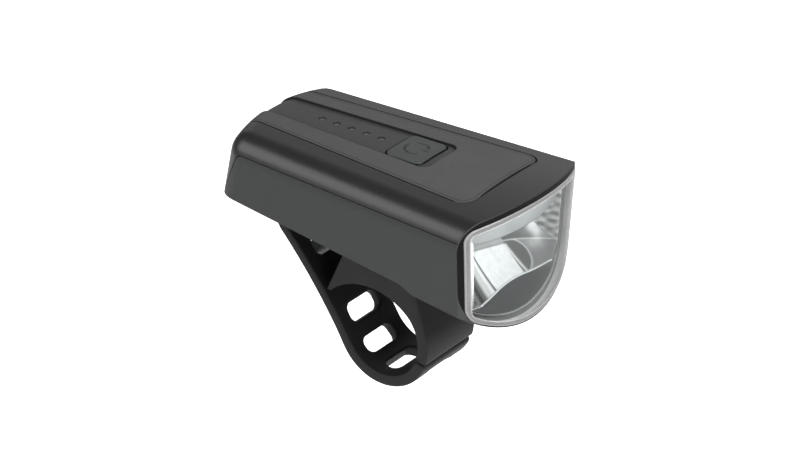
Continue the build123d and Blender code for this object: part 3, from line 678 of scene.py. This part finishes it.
# Painted glow: the outside of the skirt is painted bright for its first 2.3 mm and dim beyond, and its
# inside a little less bright.
for depth in (seat_depth, 0.6, 1.2, 1.8, 2.2, 2.4, 3.4, 4.8, skirt_depth):
    lay(ring(outline(*skirt, depth), 1.0, depth), frosted, 1.0 if depth < 2.3 else 0.3)
for depth in np.linspace(skirt_depth, back_depth, 8):
    lay(ring(outline(*inner, depth), 1.0, depth), frosted, 0.85 if depth < 5.6 else 0.6)
inner_reach = outline(*inner, back_depth)
for share in shares[::-1][1:]:
    lay(ring(inner_reach, share, back_depth), 0.0, 0.5)
outside = np.zeros((len(rings), len(turns)))
outside[: len(shares) + bevel_steps] = 1.0
marks = {"frost": np.stack(frost)[::-1], "tone": np.stack(tone)[::-1], "outside": outside[::-1]}
lens = surface("front_lens_clear", np.stack(rings)[::-1], wrap=True, marks=marks)
closed(lens)
print("rings of the whole lens:", len(rings))

# %% [markdown]
# ## The lens finish
# The clear part lets light straight through, with a Fresnel reflection on the outside
# only, because a second one from the inside would double every highlight. The frosted
# part is a pale plastic whose brightness is the painted glow stored on the points, and
# another number stored on the points mixes the two.


# %% Lens finish
def attribute(tree, title):
    """Number stored on the points of the piece."""
    return add(tree, "ShaderNodeAttribute", {}, attribute_name=title)["Fac"]


def lens_material():
    """Clear plate with a Fresnel reflection outside, frosted as far as each point says and as bright as
    its painted glow.
    """
    material = bpy.data.materials.new("lens_clear")
    tree = node_tree(material)
    through = add(tree, "ShaderNodeBsdfTransparent", {"Color": (0.97, 0.98, 0.98, 1.0)})[0]
    gloss = add(tree, "ShaderNodeBsdfGlossy", {"Roughness": 0.04, "Color": white})[0]
    fresnel = add(tree, "ShaderNodeFresnel", {"IOR": 1.33})[0]
    mirrored = reckon(tree, "MULTIPLY", fresnel, attribute(tree, "outside"))
    clear = mixed(tree, mirrored, through, gloss)
    where = add(tree, "ShaderNodeTexCoord", {})["Object"]
    cloud = spread(tree, noise(tree, where, 0.8, 4.0, 0.7), 0.78, 1.0)
    # The frosted colour is the painted glow stored on the points, mottled by noise.
    bright = reckon(tree, "MULTIPLY", attribute(tree, "tone"), cloud)
    colour = two_tone(tree, bright, opaque((0.0, 0.0, 0.0)), white)
    pale = add(tree, "ShaderNodeBsdfPrincipled", {"Roughness": 0.28, "Base Color": colour})[0]
    whole = mixed(tree, attribute(tree, "frost"), clear, pale)
    add(tree, "ShaderNodeOutputMaterial", {"Surface": whole})
    return material


settle(lens, "lamp", "lens", lens_material(), "front_lens")

# %% [markdown]
# ## The black rim
# Between the lens and the edge of the body runs a narrow black rim. It is a ring with a
# flat section, carried round the mouth: the profile lists how far each of its corners
# lies on the way from the outer edge to just behind the lens, and how deep.

# %% Rim round the lens
rim_outer = (0.15, 0.15, 0.08)
rim_corner = 6.8
rim_lap = 0.25
rim_foot, rim_face = 0.3, -0.015
rim_profile = [(0.0, rim_foot), (0.0, 0.0), (0.05, -0.012), (0.3, rim_face), (0.7, rim_face)]
rim_profile += [(1.0, rim_face), (1.1, rim_foot), (0.0, rim_foot)]
rings = []
for share, depth in rim_profile:
    drawn = [start + share * (end + rim_lap - start) for start, end in zip(rim_outer, rim[:3])]
    corner = rim_corner + share * (rim[3] - rim_corner)
    rings.append(ring(outline(*drawn, corner, depth), 1.0, depth))
bezel = surface("front_bezel", np.stack(rings)[::-1], wrap=True)
closed(bezel)
settle(bezel, "lamp", "cover", finishes["rim"])

# %% [markdown]
# ## The mirror
# Behind the lens sits a cut-off mirror: a straight channel in the middle, half a round
# bowl at each side, and a crinkled cheek beyond each bowl, all above one bowed lip. Seen
# from the front it never folds over itself, so its depth is one number for each y and z:
# the larger of the bowl's parabola and the cheek's slope.

# %% Mirror depth
focus_z, apex_x, focal = 44.3, 22.0, 8.8
channel = 6.2
cheek_y, cheek_x, cheek_slope = 15.0, 24.0, 0.42
lip_middle_x, lip_bow = 34.4, 110.0
widest_share = 0.75


def lip_x(y):
    """The lip in plan: a gentle bow that is set back in the middle."""
    return lip_middle_x + y * y / lip_bow


def off_channel(y):
    """How far a point lies past the side of the channel, and 0 within it."""
    return np.maximum(np.abs(y) - channel, 0.0)


def bowl_x(y, z):
    """The parabola: the apex, plus the squared distance from the axis over four focal lengths.

    The distance is straight down in the channel, and round its end beyond.
    """
    return apex_x + np.hypot(off_channel(y), focus_z - z) ** 2 / (4.0 * focal)


def mirror_x(y, z):
    """Depth of the mirror: the parabola, or the cheek where that comes further forward."""
    return np.maximum(bowl_x(y, z), cheek_x + (np.abs(y) - cheek_y) / cheek_slope)


def lip_z(y):
    """Height at which the mirror reaches the lip, level beyond the bowls."""
    limit = np.sqrt(4.0 * focal * (lip_x(y) - apex_x))
    across = np.minimum(off_channel(y), widest_share * limit)
    height = focus_z - np.sqrt(limit * limit - across * across)
    cheek_limit = 4.0 * focal * (lip_x(cheek_y) - apex_x)
    cheek_z = focus_z - np.sqrt(cheek_limit - (cheek_y - channel) ** 2)
    return np.where(np.abs(y) > cheek_y, cheek_z, height)


print("lip, middle and cheek:", round(float(lip_z(0.0)), 2), round(float(lip_z(20.0)), 2))

# %% [markdown]
# Flutes and crinkles are ripples of that depth. The flutes follow the angle round the
# bowl, and the crinkles are three folds in different directions, added together.

# %% Mirror grid
mirror_half = 20.6
cheek_blend = 0.6
crinkle_middle, crinkle_depth = 0.6, 0.9
flute_depth, flutes_per_turn = 0.35, 4.0
mirror_behind = 3.0


def fold(value):
    """A zigzag: the distance from the middle of each whole step."""
    return np.abs(value % 1.0 - 0.5)


across = np.linspace(-mirror_half, mirror_half, 331)
down = np.linspace(0.0, 1.0, 140)
y = np.repeat(across[None, :], len(down), axis=0)
z = focus_z + down[:, None] * (lip_z(y) - focus_z)
x = mirror_x(y, z)
cheek_share = ramp(x, bowl_x(y, z), cheek_blend)
crinkle = fold(y * 0.55 + z * 0.33) + fold(y * 0.31 - z * 0.42 + 0.3) + 0.6 * fold(z * 0.5 + y * 0.1)
bowl_turn = np.degrees(np.arctan2(off_channel(y), focus_z - z))
ripple = flute_depth * np.abs(np.sin(np.radians(bowl_turn * flutes_per_turn)))
flute = np.where(y < -channel, ripple, 0.0)
x = x + cheek_share * (crinkle - crinkle_middle) * crinkle_depth - flute
x = np.minimum(x, front_surface(y, z, mirror_behind))
print("mirror, furthest back and forward:", round(float(x.min()), 1), round(float(x.max()), 1))

# %% [markdown]
# ## Shades in the mirror
# A real mirror shows whatever stands round the lamp, which a studio of softboxes lacks.
# So each point stores a shade for what the bowl reflects of its own inside: a bright
# channel below a crease, a lit and streaked near bowl, and a dim far bowl with a fold, an
# oval patch and a glint. Each shade is built from soft steps and humps.


# %% Mirror shades
def past(value, edge, width):
    """Soft step from 0 to 1 as the value passes the edge."""
    return np.clip((value - edge) / width + 0.5, 0.0, 1.0)


def oval(y, z, centre_y, centre_z, half_y, half_z):
    """Below 1 inside an ellipse."""
    return np.hypot((y - centre_y) / half_y, (z - centre_z) / half_z)


def channel_shade(y, z):
    """Grey above a slanting crease and bright below it, with the crease itself dark."""
    crease_z = 30.9 - 0.17 * y
    return 0.5 + 0.5 * past(crease_z, z, 0.3) - 0.3 * bump_at(z, crease_z, 0.2)


def near_shade(turn):
    """Bright next to the channel but for a dark sliver, then dark with faint streaks."""
    lit = 0.62 * past(13.0, turn, 4.0) + 0.3 * bump_at(turn, 4.2, 1.6)
    sliver = 0.6 * bump_at(turn, 1.0, 1.3)
    streak = 0.1 * np.sin(np.radians(turn * 30.0)) * past(turn, 16.0, 4.0)
    return 0.1 + lit - sliver + streak


def far_shade(y, z):
    """Dark above a pale fold and lighter below it, round a dark oval, with a glint at the channel."""
    fold_z = 30.4 - 0.2 * (y - channel)
    upper = 0.13 + 0.13 * past(y, 14.0, 8.0)
    lower = 0.27 + 0.25 * bump_at(y, 14.5, 2.0) * bump_at(z, 27.8, 1.4)
    patch = oval(y, z, 6.2, 26.6, 5.6, 3.9)
    inside = past(1.0, patch, 0.06)
    lower = lower * (1.0 - inside) + 0.13 * inside + 0.35 * bump_at(patch, 1.0, 0.05)
    glint_y = channel + 0.2 + 0.175 * np.maximum(29.0 - z, 0.0)
    glint = 0.7 * bump_at(y, glint_y, 0.5) * past(29.6, z, 0.6)
    return np.where(z > fold_z, upper, lower) + 0.4 * bump_at(z, fold_z, 0.16) + glint


def cheek_shade(crinkle):
    """Painted reflection on the facets, from grey to white with the height of the crinkle."""
    return 0.3 + 0.7 * np.clip(crinkle * 1.5 - 0.5, 0.0, 1.0)


places = [cheek_share >= 0.05, y < -channel, y > channel]
choices = [cheek_shade(crinkle), near_shade(bowl_turn), far_shade(y, z)]
shade = np.clip(np.select(places, choices, channel_shade(y, z)), 0.02, 1.0)
print("mean shade of the mirror:", round(float(shade.mean()), 3))


# %% Mirror piece
def mirror_material():
    """Glossy coating whose colour is the painted reflection stored on each point as its shade, mottled a
    little.
    """
    material = bpy.data.materials.new("mirror_optic")
    tree = node_tree(material)
    where = add(tree, "ShaderNodeTexCoord", {})["Object"]
    mottle = spread(tree, noise(tree, where, 1.6, 3.0), 0.86, 1.0)
    bright = reckon(tree, "MULTIPLY", attribute(tree, "shade"), mottle)
    colour = two_tone(tree, bright, opaque((0.02, 0.02, 0.02)), opaque((0.97, 0.98, 0.98)))
    settings = {"Base Color": colour, "Metallic": 0.12, "Roughness": 0.2}
    shader = add(tree, "ShaderNodeBsdfPrincipled", settings)[0]
    add(tree, "ShaderNodeOutputMaterial", {"Surface": shader})
    return material


mirror_finish = mirror_material()
mirror = surface("reflector_mirror", np.stack([x, y, z], axis=-1), marks={"shade": shade})
walled(mirror, 0.8, 1.0)
settle(mirror, "lamp", "mirror", mirror_finish, "reflector")

# %% [markdown]
# ## Lip, mask and liner
# The lip is a thin bright bead. Below it a dark satin mask runs forward and down to the
# foot of the lens, and a liner of the same finish closes the space between the mirror's
# cheeks and the skirt. The mask is ruled: each point lies on a straight line between the
# lip and the outline of the mouth.

# %% Lip bead
lip_half = 20.4
lip_behind = 3.4
bead_radius = 0.28
bead_drop = 0.05
across = np.linspace(-lip_half, lip_half, 181)
around = np.linspace(0.0, 2.0 * np.pi, 13)[:-1]


def lip_line(y, drop):
    """Points of the lip, lowered by a drop and kept behind the lens."""
    z = lip_z(y) - drop
    return np.stack([np.minimum(lip_x(y), front_surface(y, z, lip_behind)), y, z], axis=-1)


circle = bead_radius * np.stack([np.cos(around), 0.0 * around, np.sin(around)], axis=-1)
bead = lip_line(across, bead_drop)[:, None, :] + circle[None]
# The lip's shade of 0.9 is a painted reflection, read by the mirror's finish.
lip = surface("mirror_lip", bead, wrap=True, marks={"shade": np.full(bead.shape[:2], 0.9)})
settle(lip, "lamp", "mirror", mirror_finish)

# %% Mask
liner_gap = 0.15
liner = drawn_in(rim, thick + liner_gap, 1.3)
foot_from, foot_to = math.radians(205.0), math.radians(335.0)
mask_drop = 0.3
mask_back = np.array([0.15, 0.0, 0.0])
mask_sag = np.array([-0.9, 0.0, 0.3])
foot = ring(outline(*liner, lip_behind), 1.0, lip_behind)
foot = foot[(turns > foot_from) & (turns < foot_to)]
foot = foot[np.argsort(foot[:, 1])]
head = lip_line(np.linspace(-lip_half, lip_half, len(foot)), mask_drop) - mask_back
share = np.linspace(0.0, 1.0, 24)[:, None, None]
mask_points = (1.0 - share) * head[None] + share * foot[None] + np.sin(np.pi * share) * mask_sag
mask = surface("reflector_mask_sheet", mask_points)
walled(mask, 0.6, -1.0)
settle(mask, "lamp", "mask", finishes["mask"], "reflector_mask")

# %% Liner
liner_rings = [ring(outline(*liner, depth), 1.0, depth) for depth in (4.6, 6.0, 8.0, 10.0)]
mouth_liner = surface("mouth_liner", np.stack(liner_rings), wrap=True)
settle(mouth_liner, "lamp", "mask", finishes["mask"])

# %% [markdown]
# ## The pale crescent
# Under the brow a frosted trim hides the lamp board. Its upper edge follows the mouth
# and its lower edge sags in the middle, so that it tapers to points at both ends.

# %% Crescent mesh
crescent_half = 22.0
crescent_low, crescent_climb, crescent_power = 42.3, 4.2, 12
crescent_behind, crescent_lean, crescent_gap = 3.3, 0.5, 0.2
across = np.linspace(-crescent_half, crescent_half, 131)
top_z = crown_z - rise(across, crown_radius) - rim[1] - thick - crescent_gap
low_z = crescent_low + crescent_climb * (np.abs(across) / crescent_half) ** crescent_power
share = np.linspace(0.0, 1.0, 20)[:, None]
z = low_z + share * (top_z - low_z)
y = np.repeat(across[None, :], len(share), axis=0)
x = front_surface(y, z, crescent_behind) - crescent_lean * (1.0 - share) ** 2
crescent = surface("upper_crescent", np.stack([x, y, z], axis=-1))
walled(crescent, 0.7, -1.0)
settle(crescent, "lamp", "trim", finishes["trim"], "upper_trim")

# %% [markdown]
# ## Rubber that holds the lamp
# The saddle and the strap are moulded rubber with soft edges. Both are a side view carried
# across the lamp: an outline, drawn in by the radius of the edge at each side and swelled
# to its full size in between. Corners of the outline are softened by averaging each point
# with its neighbours, again and again, which rounds them as a mould does.


# %% Moulded shape from a side view
def evenly(points, count):
    """The same open curve with a number of points at an even distance along it."""
    length = np.concatenate([[0.0], np.cumsum(np.linalg.norm(np.diff(points, axis=0), axis=1))])
    along = np.linspace(0.0, length[-1], count)
    return np.stack([np.interp(along, length, points[:, axis]) for axis in (0, 1)], axis=-1)


def softened(points, passes):
    """Each point becomes half itself and a quarter of each neighbour, a number of times."""
    for _ in range(passes):
        points = 0.5 * points + 0.25 * (np.roll(points, 1, axis=0) + np.roll(points, -1, axis=0))
    return points


def moulded(name, lower, upper, half, edge, passes=4):
    """Carry the shape between two curves in x and z across y, with its long edges rounded."""
    view = softened(np.concatenate([lower, upper[::-1]]), passes)
    ahead, behind = np.roll(view, -1, axis=0), np.roll(view, 1, axis=0)
    area = np.sum(view[:, 0] * ahead[:, 1] - ahead[:, 0] * view[:, 1])
    way = (ahead - behind) / np.linalg.norm(ahead - behind, axis=1)[:, None] * np.sign(area)
    inwards = np.stack([-way[:, 1], way[:, 0]], axis=-1)
    quarter = np.linspace(0.0, np.pi / 2.0, 6)
    drawn = edge * (1.0 - np.sin(quarter))
    place = half - edge * (1.0 - np.cos(quarter))
    drawn = np.concatenate([drawn, drawn[::-1]])
    place = np.concatenate([place, -place[::-1]])
    flat = view[None] + drawn[:, None, None] * inwards[None]
    across = np.repeat(place[:, None], len(view), axis=1)
    points = np.stack([flat[..., 0], across, flat[..., 1]], axis=-1)
    thing = surface(name, points, wrap=True, ladders=True)
    closed(thing)
    return thing


def arc(centre, radius, start, end, steps=24):
    """Points on a circle in the side view between two angles in degrees."""
    angle = np.radians(np.linspace(start, end, steps))
    return np.stack([centre[0] + radius * np.cos(angle), centre[1] + radius * np.sin(angle)], axis=-1)


# %% [markdown]
# ## Saddle
# The saddle sits on the bar. Its lower curve follows the bar and then sweeps back to a
# pointed tongue, and its upper curve goes straight from the front of the bar up into the
# belly of the lamp and down to the tongue again.

# %% Saddle
bar_radius = 12.0
rubber_thick = 3.4
rubber_half = 11.0
rubber_edge = 0.5
bar_middle = (0.0, 0.0)
split_angle, leave_angle, front_angle = -19.6, 38.0, 15.0
sweep_middle, sweep_radius, sweep_angles = (-4.2, -5.8), 19.07, (44.0, 134.0)
belly_corners = [(8.6, 25.2), (-10.2, 27.1)]
tongue_tip = [(-18.7, 8.0)]
seat = arc(bar_middle, bar_radius, split_angle, leave_angle)
sweep = arc(sweep_middle, sweep_radius, *sweep_angles)
front = arc(bar_middle, bar_radius + rubber_thick, split_angle, front_angle)
saddle_low = evenly(np.concatenate([seat, sweep, tongue_tip]), 220)
saddle_high = evenly(np.concatenate([front, belly_corners, tongue_tip]), 220)
saddle = moulded("saddle_rubber", saddle_low, saddle_high, rubber_half, rubber_edge)
settle(saddle, "lamp", "rubber", finishes["rubber"], "strap_saddle")

# %% [markdown]
# ## Slotted strap
# The strap runs once round the bar and then climbs to its hook. Its middle line has a
# curvature for each stretch; adding that up gives the heading, and adding up the heading
# gives the place. It starts half its thickness before the pivot, where a round nose
# meets the saddle.

# %% Strap line
pivot_angle = math.radians(-28.0)
middle_radius = bar_radius + rubber_thick / 2.0
loop_run = middle_radius * math.radians(122.0)
climb_run, climb_radius = 36.0, 160.0
curl_run, curl_radius = 3.6, 6.0
strap_thick_half = 1.65
thinning, thin_from, thin_over = 0.3, 20.0, 14.0
run = np.linspace(-strap_thick_half, loop_run + climb_run + curl_run, 4000)
step = run[1] - run[0]
climb_bend = np.where(run < loop_run + climb_run, 1.0 / climb_radius, -1.0 / curl_radius)
bend = np.where(run < loop_run, -1.0 / middle_radius, climb_bend)
heading = np.cumsum(bend) * step
heading += pivot_angle - math.pi / 2.0 - np.interp(0.0, run, heading)
line_x = np.cumsum(np.cos(heading)) * step
line_z = np.cumsum(np.sin(heading)) * step
line_x += middle_radius * math.cos(pivot_angle) - np.interp(0.0, run, line_x)
line_z += middle_radius * math.sin(pivot_angle) - np.interp(0.0, run, line_z)


def on_strap(along, out):
    """x and z at a distance along the strap and out from its middle line, left of its heading."""
    turn = np.interp(along, run, heading)
    x = np.interp(along, run, line_x) - out * np.sin(turn)
    z = np.interp(along, run, line_z) + out * np.cos(turn)
    return x, z


def strap_half(along):
    """Half the strap's thickness: full under the bar and thinner where it climbs."""
    return strap_thick_half - thinning * ramp(along, thin_from, thin_over)


print("length of the strap:", round(run[-1] - run[0], 1))

# %% Strap band
along = np.linspace(run[0], run[-1], 340)
half_here = strap_half(along)
end_gap = np.minimum(along - run[0], run[-1] - along)
half_here = np.sqrt(np.maximum(half_here**2 - np.maximum(half_here - end_gap, 0.0) ** 2, 0.0))
outer_line = np.stack(on_strap(along, half_here), axis=-1)
inner_line = np.stack(on_strap(along, -half_here), axis=-1)
strap = moulded("strap_rubber", outer_line, inner_line, rubber_half, rubber_edge, 1)
print("points of the plain band:", len(strap.data.vertices))

# %% [markdown]
# ## Slots
# The slots are cut with rounded plugs that are bent the same way as the strap. A plug
# grows towards both faces by a quarter round, so that every slot gets a soft rim, and
# the exact boolean solver keeps the cut clean. The fifth place along the strap is solid.

# %% Slots
slot_first, slot_pitch = 5.0, 10.3
slot_places = np.array([0, 1, 2, 3, 5])
slot_half_length, slot_half_width = 6.25, 2.75
slot_corner, slot_flare = 2.2, 0.5
crease_angle = math.radians(50.0)
upper_heights = np.array([0.6, 0.8, 0.93, 1.0, 1.6])


def slot_plug(station):
    """A rounded plug across the strap whose outline grows by the flare near both faces."""
    turn = np.linspace(0.0, 2.0 * np.pi, 48, endpoint=False)
    corner_y = np.sign(np.cos(turn)) * (slot_half_length - slot_corner)
    corner_along = np.sign(np.sin(turn)) * (slot_half_width - slot_corner)
    half = strap_half(station)
    rows = []
    for height in np.concatenate([-upper_heights[::-1], [0.0], upper_heights]) * half:
        close = max(slot_flare - max(half - abs(height), 0.0), 0.0)
        grown = slot_flare - math.sqrt(max(slot_flare * slot_flare - close * close, 0.0))
        radius = slot_corner + grown
        y = corner_y + radius * np.cos(turn)
        x, z = on_strap(station + corner_along + radius * np.sin(turn), height + 0.0 * turn)
        rows.append(np.stack([x, y, z], axis=-1))
    plug = surface("slot_plug", np.stack(rows), wrap=True, ladders=True)
    closed(plug)
    return plug


for station in slot_first + slot_pitch * slot_places:
    plug = slot_plug(station)
    cut = strap.modifiers.new("slot", "BOOLEAN")
    cut.operation = "DIFFERENCE"
    cut.solver = "EXACT"
    cut.object = plug
    bpy.context.view_layer.update()
    cut_strap = strap.evaluated_get(bpy.context.evaluated_depsgraph_get())
    cut_mesh = bpy.data.meshes.new_from_object(cut_strap)
    strap.modifiers.clear()
    strap.data = cut_mesh
    bpy.data.objects.remove(plug)
strap.data.name = "strap_rubber"
strap.data.set_sharp_from_angle(angle=crease_angle)
settle(strap, "strap", "rubber", finishes["rubber"], "strap")

# %% [markdown]
# ## Power button
# The button's top follows the crown and falls away round its edge. Its height is worked
# out on circles about its middle, close together where the power sign is sunk into it:
# a ring that is open to the front, and a bar in the opening.

# %% Button outline and sign
button_edge = 0.5
button_top, button_floor = 53.05, 50.9
button_furthest = 12.0
sign_opening = math.radians(26.0)
groove_depth, groove_half = 0.28, 0.27
sign_from, sign_to, sign_step = 1.2, 4.0, 0.06
button_turns = np.linspace(0.0, 2.0 * np.pi, 360, endpoint=False)
ways = np.stack([np.cos(button_turns), np.sin(button_turns)], axis=-1)


def square_reach(half, corner):
    """Reach of each ray to a rounded rectangle, found by halving."""
    inner_end, outer_end = np.zeros(len(ways)), np.full(len(ways), button_furthest)
    for _ in range(30):
        reach = (inner_end + outer_end) / 2.0
        over = np.abs(ways * reach[:, None]) - half + corner
        inside = np.hypot(*np.maximum(over, 0.0).T) + np.minimum(over.max(axis=1), 0.0) < corner
        inner_end = np.where(inside, reach, inner_end)
        outer_end = np.where(inside, outer_end, reach)
    return inner_end


def sign_depth(x, y):
    """Depth of the power sign's groove: deepest on the middle of the ring and of the bar."""
    closed_part = np.abs(np.arctan2(y, x)) > sign_opening
    ring_gap = np.where(closed_part, np.abs(np.hypot(x, y) - sign_radius), 1.0)
    bar_gap = np.hypot(x - np.clip(x, *sign_bar), y)
    gap = np.minimum(ring_gap, bar_gap)
    return groove_depth * np.clip(1.0 - (gap / groove_half) ** 2, 0.0, 1.0)


full_reach = square_reach(np.array(button_half), button_corner)
flat_reach = full_reach - button_edge
print("button, middle to corner:", round(full_reach.max(), 2))

# %% Power button
flat = np.zeros(len(ways))
radii = [flat + radius for radius in (0.0, 0.5, 1.0)]
radii += [flat + radius for radius in np.arange(sign_from, sign_to, sign_step)]
radii += [sign_to + share * (flat_reach - sign_to) for share in np.linspace(0.0, 1.0, 8)]
drops = [0.0] * len(radii)
for fall in np.linspace(0.0, np.pi / 2.0, 7)[1:]:
    radii.append(flat_reach + button_edge * np.sin(fall))
    drops.append(button_edge * (1.0 - np.cos(fall)))
x = np.stack(radii) * np.cos(button_turns)
y = np.stack(radii) * np.sin(button_turns)
z = button_top - y**2 / (2.0 * crown_radius) - np.array(drops)[:, None] - sign_depth(x, y)
top = np.stack([x + button_x, y, z], axis=-1)
foot = np.stack([x[-1] + button_x, y[-1], flat + button_floor], axis=-1)
middle = np.stack([flat + button_x, flat, flat + button_floor], axis=-1)
button = surface("button_cap", np.concatenate([top, foot[None], middle[None]]), wrap=True)
closed(button)
button.data.set_sharp_from_angle(angle=crease_angle)
settle(button, "button", "button", finishes["button"], "power_button")
